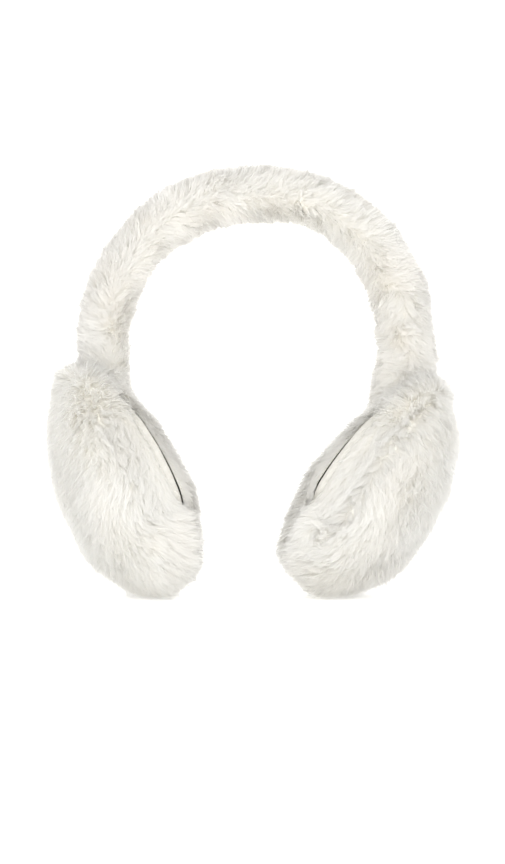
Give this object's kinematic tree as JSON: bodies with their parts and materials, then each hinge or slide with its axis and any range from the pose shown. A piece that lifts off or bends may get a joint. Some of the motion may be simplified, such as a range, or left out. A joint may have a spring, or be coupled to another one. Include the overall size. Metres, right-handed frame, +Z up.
{
  "type": "fur earmuffs",
  "caption": "Fur earmuffs: a sprung arch in a fur sleeve between round, deep-furred ear pads, with a smooth hide edge in each pad's slit.",
  "frame": {"origin": "on the floor, at the middle of the footprint's bounding box", "axes": "+Z up, +X to the right of someone who looks at the front, +Y to the back"},
  "size_m": [0.2016, 0.1098, 0.2086],
  "materials": {
    "band_fur": "cream fur, short to medium",
    "cup_fur": "cream fur, long and soft",
    "inner_fur": "beige fur, shorter",
    "hide_edge": "smooth pale hide"
  },
  "bodies": {
    "root": {"headband": "band_fur", "left_outer_cup": "cup_fur", "left_rim_binding": "hide_edge", "left_inner_pad": "inner_fur", "right_outer_cup": "cup_fur", "right_rim_binding": "hide_edge", "right_inner_pad": "inner_fur"}
  },
  "joints": []
}
